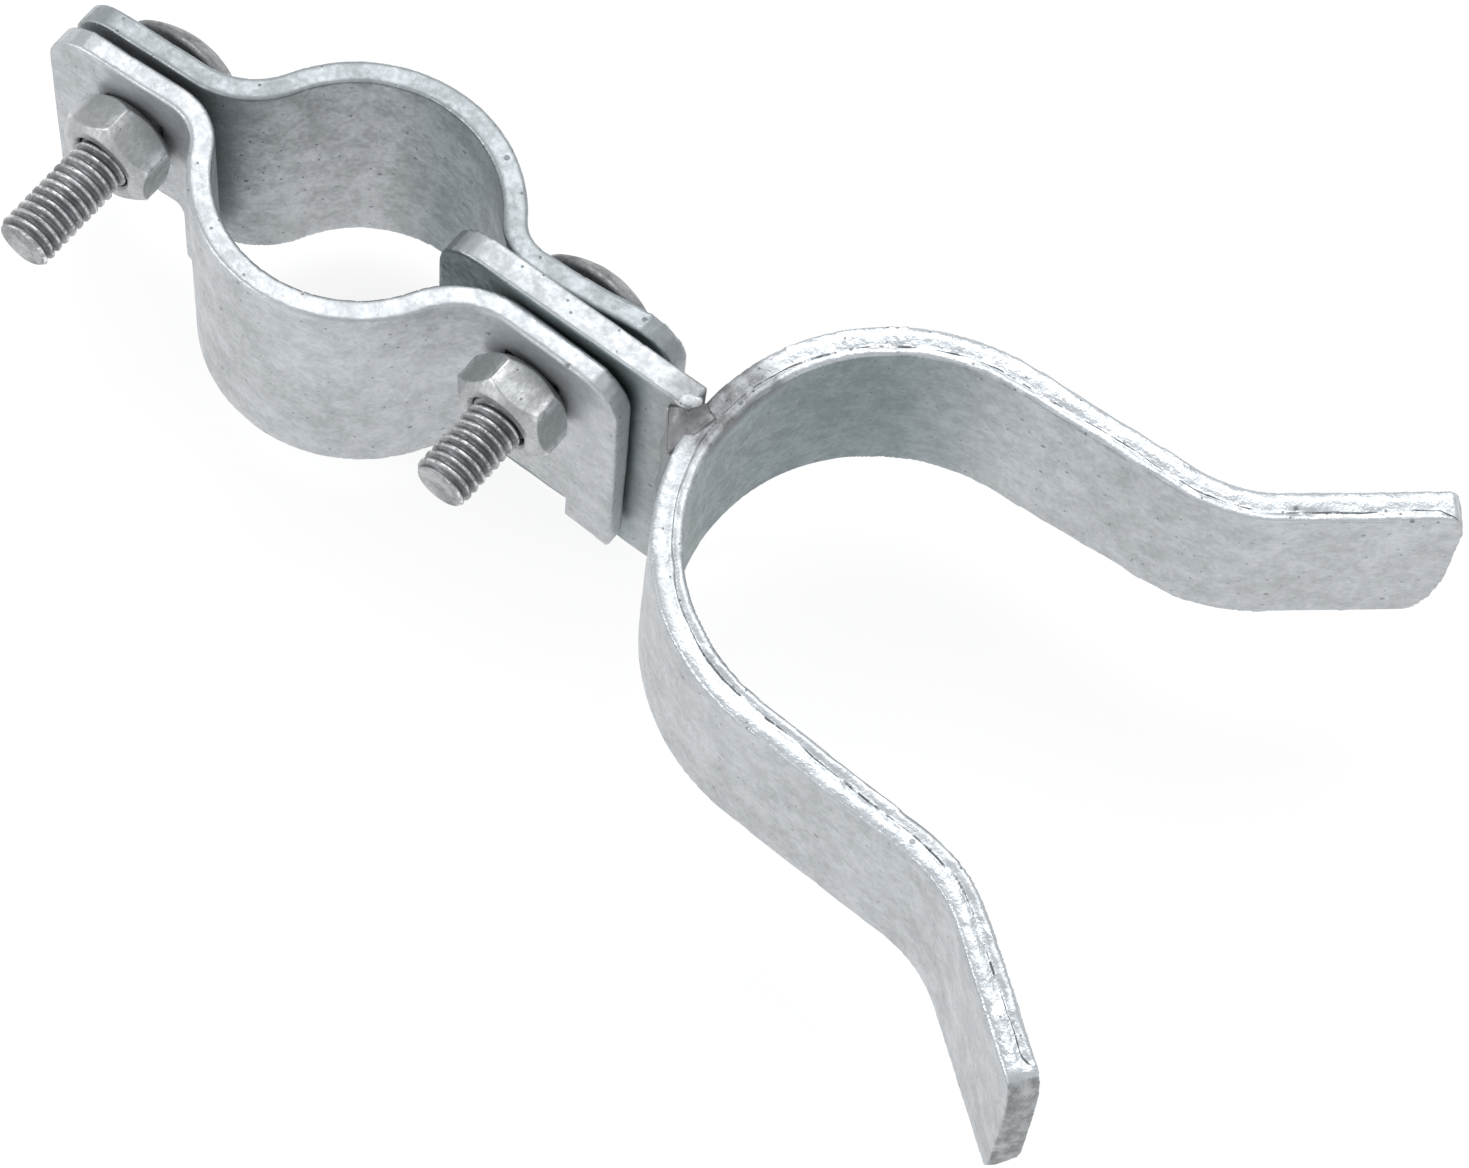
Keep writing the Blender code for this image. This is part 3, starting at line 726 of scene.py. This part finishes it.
def bead(name, node, face_y, side, top, seed):
    """A fillet weld between the tongue's face at face_y and the fork's back."""
    height = top - BEAD_BOTTOM
    count = int(height / BEAD_STEP)
    points = []
    for row in range(count + 1):
        share = row / count
        z = BEAD_BOTTOM + height * share
        probe = np.array([[0.0, 0.0, z]])
        uneven = 0.08 * noise(probe, 4.0, seed)[0] + 0.03 * noise(probe, 1.4, seed + 1)[0]
        grown = min(1.0, share * height / BEAD_FADE)
        size = BEAD_LEG * (1 + uneven) * math.sqrt(max(0.02, 1 - (1 - grown) ** 2))
        ripple = 0.03 * math.sin(2 * math.pi * z / 1.9 + 1.3 * noise(probe, 4.0, seed + 2)[0])
        root_x = fork_back_x(face_y, z)
        foot_y = face_y + side * size
        foot_x = fork_back_x(foot_y, z)
        start = Vector((root_x - size * 1.15, face_y - side * SINK, z))
        finish = Vector((foot_x + SINK, foot_y, z))
        hump = Vector((-0.6, side * 0.8, 0)).normalized()
        for k in range(BEAD_ACROSS + 1):
            part = k / BEAD_ACROSS
            lift = math.sin(math.pi * part)
            spread = Vector(start).lerp(finish, part)
            points.append(tuple(spread + hump * lift * (ripple - 0.07 * size)))
        points.append((root_x + 1.2, face_y - side * 1.0, z))
    wide = BEAD_ACROSS + 2
    faces = ring_faces(count + 1, wide)
    faces.append(tuple(reversed(range(wide))))
    faces.append(tuple(range(count * wide, (count + 1) * wide)))
    if side > 0:
        faces = [tuple(reversed(face)) for face in faces]
    item = new_object(name, points, faces)
    place(item, node, "fork", weld_zinc)


bead("weld_front_bead", "weld_front", TONGUE_LOW.y, -1, 17.9, 161)
bead("weld_rear_bead", "weld_rear", TONGUE_HIGH.y, 1, 9.5, 181)


def add_weld_metal(name, points, faces, material):
    """A lump of weld metal that no CAD node stands for."""
    item = new_object(name, points, faces)
    item.data.materials.append(material)
    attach(item, "fork")


NUB_AT = np.array([52.2, 1.95, 20.75])
NUB_REACH = np.array([1.75, 1.1, 0.34])      # half its length, width and height
NUB_TURN = 36.0                              # degrees in plan
NUB_SEED = 211


def weld_nub():
    """A flat egg of bright metal on the tongue's top, at its front corner."""
    rings, sides = 27, 40
    polar = np.repeat(np.arange(1, rings + 1) * math.pi / (rings + 1), sides)
    around = np.tile(np.arange(sides) * 2 * math.pi / sides, rings)
    egg = np.stack([np.sin(polar) * np.cos(around), np.sin(polar) * np.sin(around), np.cos(polar)], axis=1)
    egg = np.vstack([egg, (0, 0, 1), (0, 0, -1)]) * NUB_REACH
    egg *= (1 + 0.06 * noise(egg, 1.7, NUB_SEED) + 0.03 * noise(egg, 0.8, NUB_SEED + 1))[:, None]
    cosine, sine = math.cos(math.radians(NUB_TURN)), math.sin(math.radians(NUB_TURN))
    egg = egg @ np.array([[cosine, sine, 0], [-sine, cosine, 0], [0, 0, 1]]) + NUB_AT
    faces = [tuple(reversed(face)) for face in ring_faces(rings, sides)]
    last, top, under = (rings - 1) * sides, rings * sides, rings * sides + 1
    for k in range(sides):
        after = (k + 1) % sides
        faces += [(top, k, after), (under, last + after, last + k)]
    add_weld_metal("weld_nub", egg, faces, weld_zinc)


CAP_ON_TONGUE = ((50.2, 0.6, 19.2), (52.6, 0.4, 21.2), (54.0, 3.3, 20.3))
CAP_ON_FORK = ((53.9, -4.6, 18.5), (55.5, -1.6, 19.4), (56.0, 2.8, 19.45))
CAP_SAG = 0.25
CAP_DEPTH = (0.5, 1.0, -2.6)                 # from its top down into the metal below


def curve_point(ends_and_pull, along):
    """A point of the curve between two ends, which bends towards a third point between them."""
    start, pull, end = (Vector(p) for p in ends_and_pull)
    return start * (1 - along) ** 2 + pull * 2 * along * (1 - along) + end * along ** 2


def weld_cap():
    """Metal run from the tongue's top corner down onto the fork's outer top edge."""
    across, down = 22, 18
    wide = across + 1
    grid = []
    for j in range(down + 1):
        for k in range(wide):
            upper, lower = curve_point(CAP_ON_TONGUE, k / across), curve_point(CAP_ON_FORK, k / across)
            spot = upper.lerp(lower, j / down)
            spot.z -= CAP_SAG * math.sin(math.pi * j / down)
            grid.append(tuple(spot))
    grid = np.array(grid)
    grid[:, 2] += 0.12 * noise(grid, 2.0, 201) + 0.06 * noise(grid, 0.9, 202)
    count = len(grid)
    faces = []
    for j in range(down):
        for k in range(across):
            a = j * wide + k
            faces.append((a, a + 1, a + wide + 1, a + wide))
            faces.append((count + a, count + a + wide, count + a + wide + 1, count + a + 1))
    border = list(range(across)) + [j * wide + across for j in range(down)]
    border += [down * wide + k for k in range(across, 0, -1)] + [j * wide for j in range(down, 0, -1)]
    for a, b in zip(border, border[1:] + border[:1]):
        faces.append((b, a, count + a, count + b))
    add_weld_metal("weld_cap", np.concatenate([grid, grid + CAP_DEPTH]), faces, weld_dull)


weld_nub()
weld_cap()


# ---------------------------------------------------------------- floor, light and camera

FLOOR_REACH = 4000.0
FLOOR_GAP = 0.4                # below the lowest point
CAMERA_AT = (213.4, -253.8, 586.55)
CAMERA_TURN = (30.57, 63.86, 7.52)           # azimuth, elevation and roll, in degrees
CAMERA_LENS = 125.66


def floor():
    low, high = (Vector(corner) / MM for corner in CAD_BOX)
    middle, level = (low + high) / 2, low.z - FLOOR_GAP
    corners = [(-1, -1), (1, -1), (1, 1), (-1, 1)]
    points = [(middle.x + x * FLOOR_REACH, middle.y + y * FLOOR_REACH, level) for x, y in corners]
    item = new_object("floor", points, [(0, 1, 2, 3)])
    w = Wiring("floor_paint")
    tone = w.noise(120.0, 2.0, 0.5)
    w.finish(w.mix(tone, (0.24, 0.24, 0.24), (0.26, 0.26, 0.26)), 0.9, None, 0.0)
    w.shader.inputs["Specular IOR Level"].default_value = 0.0
    w.shader.inputs["Emission Color"].default_value = (1.0, 1.0, 1.0, 1.0)
    w.shader.inputs["Emission Strength"].default_value = 0.82
    item.data.materials.append(w.material)


def softbox(name, place_mm, target_mm, width, height, watts):
    lamp = bpy.data.lights.new(name, "AREA")
    lamp.shape = "RECTANGLE"
    lamp.size = width * MM
    lamp.size_y = height * MM
    lamp.energy = watts
    item = bpy.data.objects.new(name, lamp)
    bpy.context.scene.collection.objects.link(item)
    item.location = Vector(place_mm) * MM
    item.rotation_euler = (Vector(target_mm) - Vector(place_mm)).to_track_quat("-Z", "Y").to_euler()


def studio():
    world = bpy.data.worlds.new("studio")
    world.use_nodes = True
    background = world.node_tree.nodes["Background"]
    background.inputs["Color"].default_value = (0.97, 0.985, 1.0, 1.0)
    background.inputs["Strength"].default_value = 0.72
    bpy.context.scene.world = world
    middle = (50.0, 0.0, 0.0)
    softbox("overhead", (-150.0, 420.0, 800.0), middle, 700.0, 500.0, 2.4)
    softbox("front_fill", (-500.0, -700.0, 420.0), middle, 400.0, 400.0, 2.0)


def camera():
    """Looks down on the latch from the nuts' side, turned a little about its own axis."""
    azimuth, elevation, roll = (math.radians(angle) for angle in CAMERA_TURN)
    out = math.cos(elevation)
    back = Vector((math.sin(azimuth) * out, -math.cos(azimuth) * out, math.sin(elevation)))
    level = (-back).cross(Vector((0, 0, 1))).normalized()
    lift = level.cross(-back)
    right = math.cos(roll) * level + math.sin(roll) * lift
    up = math.cos(roll) * lift - math.sin(roll) * level
    lens = bpy.data.cameras.new("camera")
    lens.sensor_width = 36
    lens.sensor_fit = "HORIZONTAL"
    lens.lens = CAMERA_LENS
    lens.clip_start = 0.01
    item = bpy.data.objects.new("camera", lens)
    bpy.context.scene.collection.objects.link(item)
    placed = Matrix((right, up, back)).transposed().to_4x4()
    placed.translation = Vector(CAMERA_AT) * MM
    item.matrix_world = placed
    bpy.context.scene.camera = item


floor()
studio()
camera()
bpy.context.scene.view_settings.view_transform = "Standard"
